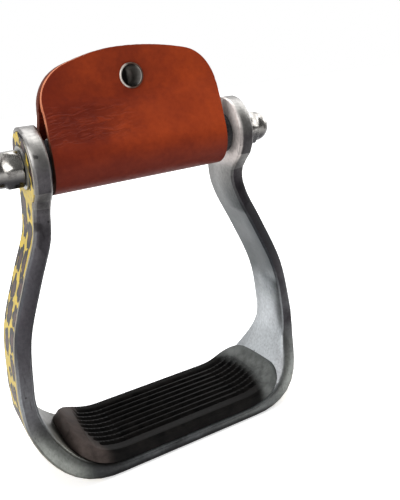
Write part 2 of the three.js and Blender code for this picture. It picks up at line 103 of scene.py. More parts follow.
class Do(Enum):
    """Node types under short names, each with its settings and the output that is wanted.

    The mixing nodes also name the inputs that their kind of value goes into.
    """

    PLUS = ("ShaderNodeMath", {"operation": "ADD"}, 0)
    MINUS = ("ShaderNodeMath", {"operation": "SUBTRACT"}, 0)
    TIMES = ("ShaderNodeMath", {"operation": "MULTIPLY"}, 0)
    TIMES_PLUS = ("ShaderNodeMath", {"operation": "MULTIPLY_ADD"}, 0)
    DIVIDE = ("ShaderNodeMath", {"operation": "DIVIDE"}, 0)
    LARGER = ("ShaderNodeMath", {"operation": "MAXIMUM"}, 0)
    BELOW = ("ShaderNodeMath", {"operation": "LESS_THAN"}, 0)
    SIZE = ("ShaderNodeMath", {"operation": "ABSOLUTE"}, 0)
    SIGN = ("ShaderNodeMath", {"operation": "SIGN"}, 0)
    SINE = ("ShaderNodeMath", {"operation": "SINE"}, 0)
    FLOOR = ("ShaderNodeMath", {"operation": "FLOOR"}, 0)
    ANGLE = ("ShaderNodeMath", {"operation": "ARCTAN2"}, 0)
    MOVE_BACK = ("ShaderNodeVectorMath", {"operation": "SUBTRACT"}, 0)
    STRETCH = ("ShaderNodeVectorMath", {"operation": "MULTIPLY"}, 0)
    STRETCH_PLUS = ("ShaderNodeVectorMath", {"operation": "MULTIPLY_ADD"}, 0)
    SCALE = ("ShaderNodeVectorMath", {"operation": "SCALE"}, 0)
    LENGTH = ("ShaderNodeVectorMath", {"operation": "LENGTH"}, "Value")
    DISTANCE = ("ShaderNodeVectorMath", {"operation": "DISTANCE"}, "Value")
    SPLIT = ("ShaderNodeSeparateXYZ", {}, 0)
    JOIN = ("ShaderNodeCombineXYZ", {}, 0)
    RAMP = ("ShaderNodeMapRange", {}, 0)
    EASE = ("ShaderNodeMapRange", {"interpolation_type": "SMOOTHSTEP"}, 0)
    TONE = ("ShaderNodeMix", {"data_type": "RGBA"}, 2, 0, 6, 7)
    BLEND = ("ShaderNodeMix", {"data_type": "FLOAT"}, 0, 0, 2, 3)
    NOISE = ("ShaderNodeTexNoise", {}, 0)
    CELLS = ("ShaderNodeTexVoronoi", {}, 0)
    BUMP = ("ShaderNodeBump", {}, 0)
    ROUND = ("ShaderNodeBevel", {"samples": 6}, 0)
    ATTRIBUTE = ("ShaderNodeAttribute", {}, "Fac")
    RAYS = ("ShaderNodeLightPath", {}, 0)


def linear(code: str) -> tuple[float, float, float, float]:
    """Turn an sRGB hex colour into the linear colour that a socket takes.

    Args:
        code: The colour as six hex digits, with or without a leading hash.

    Returns:
        Red, green, blue and an alpha of one.
    """
    parts = [int(code.lstrip("#")[i : i + 2], 16) / 255 for i in (0, 2, 4)]
    red, green, blue = (c / 12.92 if c <= 0.04045 else ((c + 0.055) / 1.055) ** 2.4 for c in parts)
    return red, green, blue, 1.0


def add(
    tree: bpy.types.NodeTree,
    kind: Do | str,
    *values: Value,
    out: int | str | None = None,
    **more: Value,
) -> Socket:
    """Add one node with its settings and links.

    A value is a number, a vector, a socket or a hex colour. A pair fills two inputs.

    Args:
        tree: The node tree that takes the node.
        kind: The node's short name, or its type name where it has none.
        *values: Values for the inputs in their order.
        out: Which output to hand back, if not the wanted one.
        **more: Inputs by name, which start with a capital, and settings of the node.

    Returns:
        The chosen output socket, or the node's first input where it has no output.
    """
    name, preset, wanted, *order = kind.value if isinstance(kind, Do) else (kind, {}, 0)
    made = tree.nodes.new(name)
    flat = [part for v in values for part in (v if isinstance(v, tuple) and len(v) == 2 else (v,))]
    inputs = dict(zip(order or range(len(flat)), flat))
    inputs.update({key: value for key, value in more.items() if key[0].isupper()})
    for key, value in {**preset, **more}.items():
        if key not in inputs:
            setattr(made, key, value)
    for key, value in inputs.items():
        if isinstance(value, Socket):
            tree.links.new(value, made.inputs[key])
        else:
            made.inputs[key].default_value = linear(value) if isinstance(value, str) else value
    if not len(made.outputs):
        return made.inputs[0]
    return made.outputs[wanted if out is None else out]


def eased(value: np.ndarray | float, span: Span) -> np.ndarray:
    """Give the share, eased from zero to one, that values have come along a span."""
    share = np.clip((value - span[0]) / (span[1] - span[0]), 0.0, 1.0)
    return share * share * (3 - 2 * share)


def place_in_scene(piece: bpy.types.Object) -> bpy.types.Object:
    """Link an object to the scene, and hand it back."""
    bpy.context.scene.collection.objects.link(piece)
    return piece


def plain_mesh(piece: bpy.types.Object) -> bpy.types.Mesh:
    """Turn a piece with modifiers into a plain mesh, and take the modifiers off.

    Args:
        piece: The piece.

    Returns:
        The mesh with the modifiers applied.
    """
    shown = piece.evaluated_get(bpy.context.evaluated_depsgraph_get())
    mesh = bpy.data.meshes.new_from_object(shown)
    piece.modifiers.clear()
    return mesh


class Surface:
    """A material in the making, with its shader and each point's place in millimetres."""

    def __init__(self, name: str) -> None:
        """Start an empty material.

        Args:
            name: The finish's plain name.
        """
        self.material = bpy.data.materials.new(name)
        self.material.use_nodes = True
        self.tree = self.material.node_tree
        self.tree.nodes.clear()
        shader = add(self.tree, "ShaderNodeBsdfPrincipled")
        add(self.tree, "ShaderNodeOutputMaterial", Surface=shader)
        self.shader = shader.node
        place = add(self.tree, "ShaderNodeTexCoord", out="Object")
        self.place_mm = self.add(Do.SCALE, place, Scale=1 / MM)
        self.x, self.y, self.z = self.add(Do.SPLIT, self.place_mm).node.outputs

    def add(self, kind: Do | str, *values: Value, **more: Value) -> Socket:
        """Add one node; a pattern without a place of its own gets the point's place.

        Args:
            kind: The node's short name, or its type name where it has none.
            *values: Values for the inputs in their order.
            **more: Inputs by name, settings of the node, and which output to hand back.

        Returns:
            The chosen output socket.
        """
        if kind in (Do.NOISE, Do.CELLS):
            more.setdefault("Vector", self.place_mm)
        return add(self.tree, kind, *values, **more)

    def feed(self, **inputs: Value) -> bpy.types.Material:
        """Set or link inputs of the shader; an underscore stands for a space.

        Args:
            **inputs: A value or a socket for each input of the shader.

        Returns:
            The material.
        """
        for name, value in inputs.items():
            socket = self.shader.inputs[name.replace("_", " ")]
            if isinstance(value, Socket):
                self.tree.links.new(value, socket)
            else:
                socket.default_value = value
        return self.material


class Body(Enum):
    """The moving bodies of the frame; each piece rides on one of them."""

    STIRRUP = "stirrup"
    ROLLER = "roller"
    COVER = "cover"


@dataclass(frozen=True)
class CastAluminium:
    """Aluminium casting: inner faces buffed to a satin, edges left rougher and in painted shade.

    Smudges and scuffs break the sheen up. Painted reflection darkens the upper arms and lightens
    the low bends, with a tone between them on the heads.
    """

    clean: str = "#BCC0C3"
    # Painted reflection by height: the upper arms dark, the heads a tone between, the low bends
    # light.
    dull: str = "#3F4548"
    head: str = "#8B8987"
    # Front and back faces: painted shade, darker on the right arm, painted reflection on the tread
    # front and low corners, painted highlight on the head crowns.
    edge: str = "#49464A"
    edge_right: str = "#2F2B2F"
    tread: str = "#3D3E3F"
    tread_right: str = "#585A57"
    # Painted shade along the bottom of the tread.
    tread_bottom_shade: str = "#161617"
    corner: str = "#989B96"
    crown: str = "#B5B3AF"
    # Painted shade in the left corner beside the tread pad.
    pad_corner_shade: str = "#45433E"
    scuff: str = "#2F2C2E"
    # Painted light on the right head's inner face beside the leather.
    face: str = "#CFC6C2"
    dark_reflection_mm: Span = (38.0, 66.0)
    head_mm: Span = (84.0, 124.0)
    low_mm: Span = (34.0, 14.0)
    right_mm: Span = (0.0, 34.0)
    tread_out_mm: Span = (54.0, 43.0)
    tread_up_mm: Span = (60.0, 44.0)
    crown_mm: Span = (125.0, 135.0)
    pad_corner_shade_up_mm: Span = (34.0, 20.0)
    pad_corner_shade_left_mm: Span = (-20.0, -40.0)
    face_up_mm: Span = (112.0, 118.0)
    face_in_mm: Span = (40.6, 40.2)
    bottom_shade_mm: Span = (3.2, 1.2)
    bottom_shade_depth: Span = (0.0, 0.8)
    patchy_share: Span = (0.3, 0.72)
    patchy: Span = (1.0, 0.78)
    spread_mm: float = 7.0
    smudge_mm: float = 13.0
    grain_mm: float = 0.45
    fleck_mm: float = 1.3
    fleck_light: Span = (0.84, 1.16)
    scratch_mm: Span = (0.6, 12.5)
    scratch_share: Span = (0.6, 0.74)
    scratch_dark: Span = (0.0, 0.4)
    pit_mm: float = 9.0
    pit_share: Span = (0.03, 0.07)
    pit_dark: Span = (0.8, 0.0)
    corner_mm: float = 0.3
    rough: Span = (0.3, 0.42)
    edge_rougher: float = 0.08
    face_duller: float = 0.6
    stains_mm: tuple[Point, ...] = (
        (-43.7, 132.0, 0.9),
        (-45.2, 105.4, 2.1),
        (-56.0, 29.5, 0.8),
    )
    stain_reach: Span = (1.2, 0.5)
    stain_dark: Span = (0.0, 0.75)
    ragged_mm: float = 1.6

    def stains(self, s: Surface) -> Socket:
        """Mark the few dark nicks on the left arm's front edge.

        Args:
            s: The material in the making.

        Returns:
            A mask of the nicks.
        """
        front = (1.0, 0.0, 1.0)
        ragged = s.add(Do.NOISE, Scale=0.9, Detail=3.0, out="Color")
        ragged = s.add(Do.STRETCH_PLUS, ragged, (self.ragged_mm, 0.0, self.ragged_mm), s.place_mm)
        flat = s.add(Do.STRETCH, ragged, front)
        whole = None
        for x, z, radius in self.stains_mm:
            middle = (x + self.ragged_mm / 2, 0.0, z + self.ragged_mm / 2)
            away = s.add(Do.DISTANCE, flat, middle)
            reach = (radius * self.stain_reach[0], radius * self.stain_reach[1])
            one = s.add(Do.EASE, away, reach, self.stain_dark)
            whole = one if whole is None else s.add(Do.LARGER, whole, one)
        return whole

    def material(self) -> bpy.types.Material:
        """Build the finish.

        Returns:
            The material.
        """
        s = Surface("cast_aluminium")
        facing = s.add(Do.ATTRIBUTE, attribute_name=EDGE_SHARE)
        smudge = s.add(Do.NOISE, Scale=1 / self.smudge_mm, Detail=5.0, Roughness=0.55)
        spread = s.add(Do.TIMES_PLUS, smudge, 2 * self.spread_mm, -self.spread_mm)
        height = s.add(Do.PLUS, s.z, spread)
        out = s.add(Do.SIZE, s.x)
        # Painted reflection by height: dark on the upper arms, a tone between on the heads, light
        # on the low bends.
        dull = s.add(Do.EASE, height, self.dark_reflection_mm)
        head = s.add(Do.EASE, height, self.head_mm)
        low = s.add(Do.EASE, height, self.low_mm)
        right = s.add(Do.EASE, s.x, self.right_mm)
        crown = s.add(Do.EASE, s.z, self.crown_mm)
        tread = s.add(Do.EASE, out, self.tread_out_mm)
        below = s.add(Do.EASE, height, self.tread_up_mm)
        tread = s.add(Do.TIMES, tread, below)
        # Painted shade in the left corner beside the tread pad.
        floor = s.add(Do.EASE, s.z, self.pad_corner_shade_up_mm)
        left = s.add(Do.EASE, s.x, self.pad_corner_shade_left_mm)
        pad_corner_shade_share = s.add(Do.TIMES, floor, left)
        # Painted light on the right head's inner face beside the leather; it is also made less
        # metallic.
        face = s.add(Do.EASE, s.z, self.face_up_mm)
        for mask in (s.add(Do.RAMP, out, self.face_in_mm), right):
            face = s.add(Do.TIMES, face, mask)
        # Painted shade along the bottom of the tread.
        foot = s.add(Do.EASE, s.z, self.bottom_shade_mm, self.bottom_shade_depth)
        foot = s.add(Do.TIMES, foot, tread)
        patchy = s.add(Do.RAMP, smudge, self.patchy_share, self.patchy)
        shaded = s.add(Do.TIMES, facing, patchy)
        fine, long = (1 / size for size in self.scratch_mm)
        drawn = s.add(Do.STRETCH, s.place_mm, (fine, fine, long))
        lines = s.add(Do.NOISE, Vector=drawn, Scale=1.0, Detail=2.0, Distortion=0.6)
        scratch = s.add(Do.EASE, lines, self.scratch_share, self.scratch_dark)
        pit = s.add(Do.CELLS, Scale=1 / self.pit_mm)
        pit = s.add(Do.EASE, pit, self.pit_share, self.pit_dark)
        marks = s.add(Do.LARGER, scratch, pit)
        marks = s.add(Do.LARGER, marks, self.stains(s))
        # Front and back faces: painted shade, darker on the right arm, with painted reflection on
        # the tread front and the low corners and a painted highlight on the head crowns.
        bar = s.add(Do.TONE, right, self.tread, self.tread_right)
        rim = self.edge
        for mask, colour in (
            (right, self.edge_right), (low, self.corner), (tread, bar), (crown, self.crown)
        ):
            rim = s.add(Do.TONE, mask, rim, colour)
        tone = self.clean
        for mask, colour in ((dull, self.dull), (head, self.head), (pad_corner_shade_share, self.pad_corner_shade)):
            tone = s.add(Do.TONE, mask, tone, colour)
        for mask, colour in (
            (face, self.face), (shaded, rim), (foot, self.tread_bottom_shade), (marks, self.scuff)
        ):
            tone = s.add(Do.TONE, mask, tone, colour)
        fleck = s.add(Do.NOISE, Scale=1 / self.fleck_mm, Detail=4.0, Roughness=0.6)
        fleck = s.add(Do.RAMP, fleck, NOISE_SPAN, self.fleck_light)
        tone = s.add(Do.SCALE, tone, Scale=fleck)
        grain = s.add(Do.NOISE, Scale=1 / self.grain_mm, Detail=3.0)
        rough = s.add(Do.RAMP, smudge, NOISE_SPAN, self.rough)
        rough = s.add(Do.TIMES_PLUS, facing, self.edge_rougher, rough)
        relief = s.add(Do.ROUND, Radius=self.corner_mm * MM)
        relief = s.add(Do.BUMP, Height=grain, Strength=0.35, Distance=0.03 * MM, Normal=relief)
        relief = s.add(Do.BUMP, Height=marks, Strength=0.4, Distance=-0.05 * MM, Normal=relief)
        shine = s.add(Do.TIMES_PLUS, face, -self.face_duller, 1.0)
        return s.feed(Base_Color=tone, Metallic=shine, Roughness=rough, Normal=relief)


@dataclass(frozen=True)
class LeopardResin:
    """A print of leopard spots under a thick clear epoxy resin.

    The coat gives the sharp gloss; the print below it is matt.
    """

    ground: str = "#CFB233"
    ground_worn: str = "#AB9550"
    spot: str = "#110E14"
    heart: str = "#432A25"
    # Painted highlight on the resin's side edges.
    rim: str = "#C6C0B2"
    spacing_mm: float = 7.9
    scatter: float = 0.5
    reach_mm: Span = (2.9, 3.6)
    heart_share: float = 0.56
    lobe_mm: float = 0.95
    lobes: Span = (4.0, 6.99)
    stretch: Span = (0.8, 1.2)
    lengthen: float = 0.76
    small_chance: float = 0.12
    small_mm: float = 1.4
    spot_blur_mm: float = 0.12
    heart_blur_mm: float = 0.3
    break_share: Span = (0.68, 0.72)
    worn_share: Span = (0.42, 0.75)
    wobble_mm: float = 2.0
    bend_radius_mm: float = 31.0
    bend_centre_mm: Span = (34.2, 31.0)
    side_shift_mm: float = 121.0
    corner_mm: float = 0.6

    def along_strip(self, s: Surface) -> Socket:
        """Unroll the outer face, so that the spots keep their size round the corner bend.

        Args:
            s: The material in the making.

        Returns:
            A flat place in millimetres: depth, height along the strip, and nothing.
        """
        bend_x, bend_z = self.bend_centre_mm
        out = s.add(Do.SIZE, s.x)
        out = s.add(Do.MINUS, out, bend_x)
        down = s.add(Do.MINUS, bend_z, s.z)
        down = s.add(Do.LARGER, down, 0.0)
        turn = s.add(Do.ANGLE, down, out)
        below = s.add(Do.TIMES, turn, -self.bend_radius_mm)
        above = s.add(Do.MINUS, s.z, bend_z)
        above = s.add(Do.LARGER, above, 0.0)
        height = s.add(Do.PLUS, above, below)
        side = s.add(Do.SIGN, s.x)
        shift = s.add(Do.TIMES_PLUS, side, self.side_shift_mm, height)
        return s.add(Do.JOIN, s.y, shift)

    def spots(self, s: Surface, flat: Socket) -> tuple[Socket, Socket]:
        """Draw the lobed dark rosettes and their brown hearts.

        Args:
            s: The material in the making.
            flat: The unrolled place in millimetres.

        Returns:
            A mask of the rosettes and a mask of the hearts inside them.
        """
        drift = s.add(Do.NOISE, Vector=flat, Scale=0.24, Detail=2.0, out="Color")
        drift = s.add(Do.MOVE_BACK, drift, (0.5, 0.5, 0.5))
        bent = s.add(Do.STRETCH_PLUS, drift, (self.wobble_mm,) * 3, flat)
        bent = s.add(Do.STRETCH, bent, (1.0, self.lengthen, 1.0))
        size, spread = 1 / self.spacing_mm, self.scatter
        cell = s.add(Do.CELLS, Vector=bent, Scale=size, Randomness=spread, voronoi_dimensions="2D")
        cell = cell.node.outputs
        away = s.add(Do.MOVE_BACK, bent, cell["Position"])
        first, second, third = s.add("ShaderNodeSeparateColor", cell["Color"]).node.outputs
        wide = s.add(Do.RAMP, first, (0.0, 1.0), self.stretch)
        tall = s.add(Do.RAMP, first, (0.0, 1.0), self.stretch[::-1])
        shape = s.add(Do.JOIN, wide, tall)
        away = s.add(Do.STRETCH, away, shape)
        radius = s.add(Do.LENGTH, away)
        parts = s.add(Do.SPLIT, away).node.outputs
        angle = s.add(Do.ANGLE, parts[1], parts[0])
        lobes = s.add(Do.TIMES_PLUS, second, self.lobes[1] - self.lobes[0], self.lobes[0])
        lobes = s.add(Do.FLOOR, lobes)
        lobes = s.add(Do.TIMES, lobes, 0.5)
        turn = s.add(Do.TIMES, third, math.tau)
        turn = s.add(Do.TIMES_PLUS, angle, lobes, turn)
        wave = s.add(Do.SIZE, s.add(Do.SINE, turn))
        small = s.add(Do.BELOW, second, self.small_chance)
        reach = s.add(Do.RAMP, third, (0.0, 1.0), self.reach_mm)
        reach = s.add(Do.BLEND, small, reach, self.small_mm)
        outer = s.add(Do.TIMES_PLUS, wave, self.lobe_mm, reach)
        inner = s.add(Do.TIMES, reach, self.heart_share)
        rosette = s.add(Do.MINUS, outer, radius)
        rosette = s.add(Do.EASE, rosette, (-self.spot_blur_mm, self.spot_blur_mm))
        heart = s.add(Do.MINUS, inner, radius)
        heart = s.add(Do.EASE, heart, (-self.heart_blur_mm, self.heart_blur_mm))
        big = s.add(Do.MINUS, 1.0, small)
        heart = s.add(Do.TIMES, heart, big)
        broken = s.add(Do.NOISE, Vector=flat, Scale=0.42, Detail=1.0)
        broken = s.add(Do.RAMP, broken, self.break_share, (1.0, 0.0))
        return s.add(Do.TIMES, rosette, broken), heart

    def material(self) -> bpy.types.Material:
        """Build the finish.

        Returns:
            The material.
        """
        s = Surface("leopard_print_resin")
        flat = self.along_strip(s)
        dark, heart = self.spots(s, flat)
        worn = s.add(Do.NOISE, Vector=flat, Scale=0.35, Detail=3.0)
        worn = s.add(Do.RAMP, worn, self.worn_share)
        facing = s.add(Do.ATTRIBUTE, attribute_name=EDGE_SHARE)
        tone = s.add(Do.TONE, worn, self.ground, self.ground_worn)
        tone = s.add(Do.TONE, dark, tone, self.spot)
        tone = s.add(Do.TONE, heart, tone, self.heart)
        # Painted highlight on the resin's side edges.
        tone = s.add(Do.TONE, facing, tone, self.rim)
        swell = s.add(Do.NOISE, Scale=0.12, Detail=1.0)
        domed = s.add(Do.ROUND, Radius=self.corner_mm * MM)
        domed = s.add(Do.BUMP, Height=swell, Strength=0.4, Distance=0.3 * MM, Normal=domed)
        s.feed(Base_Color=tone, Roughness=0.5, IOR=1.5, Specular_IOR_Level=0.12, Normal=domed)
        return s.feed(Coat_Weight=0.16, Coat_Roughness=0.05, Coat_IOR=1.5, Coat_Normal=domed)


@dataclass(frozen=True)
class BrightChrome:
    """Chrome plate on turned steel, clouded by handling, with painted shade darkening it below the
    bolt's axis.
    """

    clean: str = "#B9B6B1"
    cloudy: str = "#6B6764"
    # Painted shade below the bolt's axis.
    under: str = "#3B3A3C"
    cloud_mm: float = 3.2
    cloud_share: Span = (0.42, 0.7)
    haze_share: Span = (0.35, 0.7)
    lower_shade_mm: Span = (129.0, 123.5)
    rough: Span = (0.16, 0.34)
    corner_mm: float = 0.3

    def material(self) -> bpy.types.Material:
        """Build the finish.

        Returns:
            The material.
        """
        s = Surface("bright_chrome")
        cloud = s.add(Do.NOISE, Scale=1 / self.cloud_mm, Detail=4.0, Roughness=0.6)
        share = s.add(Do.EASE, cloud, self.cloud_share)
        # Painted shade below the bolt's axis.
        under = s.add(Do.EASE, s.z, self.lower_shade_mm)
        tone = s.add(Do.TONE, share, self.clean, self.cloudy)
        tone = s.add(Do.TONE, under, tone, self.under)
        rough = s.add(Do.RAMP, cloud, self.haze_share, self.rough)
        relief = s.add(Do.ROUND, Radius=self.corner_mm * MM)
        relief = s.add(Do.BUMP, Height=cloud, Strength=0.14, Distance=0.1 * MM, Normal=relief)
        return s.feed(Base_Color=tone, Metallic=1.0, Roughness=rough, Normal=relief)


@dataclass(frozen=True)
class PlateWithPaintedLight:
    """The rivet's plate: a dark tone with a painted highlight on one side; in the bore the dark
    tone is painted shade.
    """

    name: str
    dark: str
    painted_highlight: str
    lit_side_lean: float
    patch_mm: float = 3.0
    cloud_mm: float = 2.4
    share_mm: Span = (2.0, 4.2)
    rough: Span = (0.35, 0.55)

    def material(self) -> bpy.types.Material:
        """Build the finish.

        Returns:
            The material.
        """
        s = Surface(self.name)
        cloud = s.add(Do.NOISE, Scale=1 / self.patch_mm, Detail=3.0)
        across = s.add(Do.TIMES, s.x, self.lit_side_lean)
        share = s.add(Do.TIMES_PLUS, cloud, self.cloud_mm, across)
        share = s.add(Do.EASE, share, self.share_mm)
        tone = s.add(Do.TONE, share, self.dark, self.painted_highlight)
        rough = s.add(Do.RAMP, cloud, NOISE_SPAN, self.rough)
        relief = s.add(Do.BUMP, Height=cloud, Strength=0.3, Distance=0.1 * MM)
        return s.feed(Base_Color=tone, Metallic=0.7, Roughness=rough, Normal=relief)


@dataclass(frozen=True)
class ZincSteel:
    """Zinc-plated steel, dull silver with a faint cloud of the plating bath."""

    light: str = "#B2B3B1"
    dark: str = "#8B8C8B"
    cloud_mm: float = 2.5
    rough: Span = (0.3, 0.48)

    def material(self) -> bpy.types.Material:
        """Build the finish.

        Returns:
            The material.
        """
        s = Surface("zinc_plated_steel")
        cloud = s.add(Do.NOISE, Scale=1 / self.cloud_mm, Detail=5.0)
        tone = s.add(Do.TONE, cloud, self.light, self.dark)
        rough = s.add(Do.RAMP, cloud, NOISE_SPAN, self.rough)
        relief = s.add(Do.BUMP, Height=cloud, Strength=0.2, Distance=0.05 * MM)
        return s.feed(Base_Color=tone, Metallic=1.0, Roughness=rough, Normal=relief)


@dataclass(frozen=True)
class BlackNylon:
    """Black moulded nylon, matt, with the fine bloom of a moulded bearing bush."""

    base: str = "#17171A"
    bloom: str = "#2B2B2E"
    bloom_mm: float = 1.2

    def material(self) -> bpy.types.Material:
        """Build the finish.

        Returns:
            The material.
        """
        s = Surface("black_nylon")
        bloom = s.add(Do.NOISE, Scale=1 / self.bloom_mm, Detail=4.0)
        tone = s.add(Do.TONE, bloom, self.base, self.bloom)
        relief = s.add(Do.BUMP, Height=bloom, Strength=0.3, Distance=0.04 * MM)
        return s.feed(Base_Color=tone, Roughness=0.55, IOR=1.53, Normal=relief)


@dataclass(frozen=True)
class SaddleLeather:
    """Vegetable-tanned cowhide, dyed red-brown and waxed.

    The dye pulls up darker and lighter in clouds, the grain is a fine pebble, and the wax
    leaves a satin sheen. A painted highlight lightens it towards the right, and painted shade
    darkens the rest and the fold round the roller.
    """

    deep: str = "#47100A"
    middle: str = "#812D17"
    bright: str = "#A23E19"
    cloud_mm: float = 20.0
    mottle_mm: float = 2.2
    mottle_share: Span = (0.35, 0.75)
    mottle_dark: Span = (0.0, 0.26)
    # Painted shade outside the painted highlight and on the fold round the roller.
    painted_shade_rest: float = 0.3
    grain_mm: float = 0.6
    # Painted highlight towards the right, above the fold.
    bright_mm: Span = (-34.0, 30.0)
    bright_share: Span = (0.42, 1.05)
    bright_lean: float = 0.5
    roll_mm: Span = (116.0, 133.0)
    wrinkle_mm: Span = (6.5, 1.9)
    wrinkle_tilt: float = 4.0
    wrinkle_share: Span = (0.35, 0.6)
    wrinkle_right_mm: Span = (4.0, -17.0)
    wrinkle_low_mm: Span = (132.0, 136.0)
    wrinkle_high_mm: Span = (149.0, 144.0)
    # Painted shade in the wrinkle valleys.
    valley_shade: float = 0.38
    rough: Span = (0.42, 0.56)

    def wrinkles(self, s: Surface) -> Socket:
        """Draw the fine slanting wrinkles above the fold, on the side where the leather flexes.

        Args:
            s: The material in the making.

        Returns:
            The height of the relief.
        """
        tilt = math.radians(self.wrinkle_tilt)
        along = s.add(Do.TIMES, s.x, math.cos(tilt))
        along = s.add(Do.TIMES_PLUS, s.z, math.sin(tilt), along)
        across = s.add(Do.TIMES, s.z, math.cos(tilt))
        across = s.add(Do.TIMES_PLUS, s.x, -math.sin(tilt), across)
        along = s.add(Do.DIVIDE, along, self.wrinkle_mm[0])
        across = s.add(Do.DIVIDE, across, self.wrinkle_mm[1])
        place = s.add(Do.JOIN, along, across)
        folds = s.add(Do.NOISE, Vector=place, Scale=1.0, Detail=3.0, Distortion=1.3)
        folds = s.add(Do.EASE, folds, self.wrinkle_share)
        here = s.add(Do.EASE, s.x, self.wrinkle_right_mm)
        for span in (self.wrinkle_low_mm, self.wrinkle_high_mm):
            here = s.add(Do.TIMES, here, s.add(Do.EASE, s.z, span))
        return s.add(Do.TIMES, folds, here)

    def material(self) -> bpy.types.Material:
        """Build the finish.

        Returns:
            The material.
        """
        s = Surface("red_brown_leather")
        cloud = s.add(Do.NOISE, Scale=1 / self.cloud_mm, Detail=3.0)
        # Painted highlight towards the right, broken by clouds of the dye, above the fold only.
        across = s.add(Do.RAMP, s.x, self.bright_mm)
        worn = s.add(Do.TIMES_PLUS, across, self.bright_lean, cloud)
        worn = s.add(Do.EASE, worn, self.bright_share)
        above = s.add(Do.EASE, s.z, self.roll_mm)
        worn = s.add(Do.TIMES, worn, above)
        mottle = s.add(Do.NOISE, Scale=1 / self.mottle_mm, Detail=5.0, Roughness=0.65)
        dark = s.add(Do.RAMP, mottle, self.mottle_share, self.mottle_dark)
        # Painted shade outside the highlight and on the fold round the roller.
        for mask in (worn, above):
            rest = s.add(Do.MINUS, 1.0, mask)
            dark = s.add(Do.TIMES_PLUS, rest, self.painted_shade_rest, dark)
        wrinkles = self.wrinkles(s)
        # Painted shade in the wrinkle valleys.
        valley_shade = s.add(Do.TIMES, wrinkles, self.valley_shade)
        tone = self.middle
        for mask, colour in ((worn, self.bright), (dark, self.deep), (valley_shade, self.deep)):
            tone = s.add(Do.TONE, mask, tone, colour)
        pebble = s.add(Do.CELLS, Scale=1 / self.grain_mm, feature="SMOOTH_F1")
        relief = s.add(Do.BUMP, Height=pebble, Strength=0.25, Distance=0.05 * MM)
        relief = s.add(Do.BUMP, Height=mottle, Strength=0.3, Distance=0.12 * MM, Normal=relief)
        relief = s.add(Do.BUMP, Height=wrinkles, Strength=0.6, Distance=-0.4 * MM, Normal=relief)
        rough = s.add(Do.RAMP, mottle, NOISE_SPAN, self.rough)
        return s.feed(
            Base_Color=tone, Roughness=rough, IOR=1.48, Specular_IOR_Level=0.12, Normal=relief
        )


@dataclass(frozen=True)
class CutLeather:
    """The cut edge of the hide: paler, fibrous, stained by the dye from the grain side."""

    pale: str = "#DB8A63"
    stained: str = "#A4502F"
    burnished: str = "#27120A"
    # Painted shade on the back ply's edge.
    back: str = "#5E2814"
    fibre_mm: float = 0.7
    stain_share: Span = (0.14, 0.4)
    ply_blur_mm: float = 0.2
    waxed_mm: Span = (-18.0, -2.0)
    waxed: Span = (0.0, 0.95)
    fold_mm: Span = (143.0, 131.0)
    fold_waxed: Span = (0.0, 0.9)

    def material(self) -> bpy.types.Material:
        """Build the finish.

        Returns:
            The material.
        """
        s = Surface("cut_leather_edge")
        fibre = s.add(Do.NOISE, Scale=1 / self.fibre_mm, Detail=5.0, Roughness=0.7)
        stain = s.add(Do.NOISE, Scale=0.14, Detail=2.0)
        share = s.add(Do.TIMES, fibre, stain)
        share = s.add(Do.RAMP, share, self.stain_share)
        # Painted shade on the back ply's edge.
        between = (BOLT_MM[1] - self.ply_blur_mm, BOLT_MM[1] + self.ply_blur_mm)
        behind = s.add(Do.RAMP, s.y, between)
        waxed = s.add(Do.EASE, s.x, self.waxed_mm, self.waxed)
        fold = s.add(Do.EASE, s.z, self.fold_mm, self.fold_waxed)
        waxed = s.add(Do.LARGER, waxed, fold)
        tone = self.pale
        for mask, colour in ((share, self.stained), (behind, self.back), (waxed, self.burnished)):
            tone = s.add(Do.TONE, mask, tone, colour)
        relief = s.add(Do.BUMP, Height=fibre, Strength=0.6, Distance=0.12 * MM)
        return s.feed(
            Base_Color=tone, Roughness=0.75, IOR=1.45, Specular_IOR_Level=0.3, Normal=relief
        )


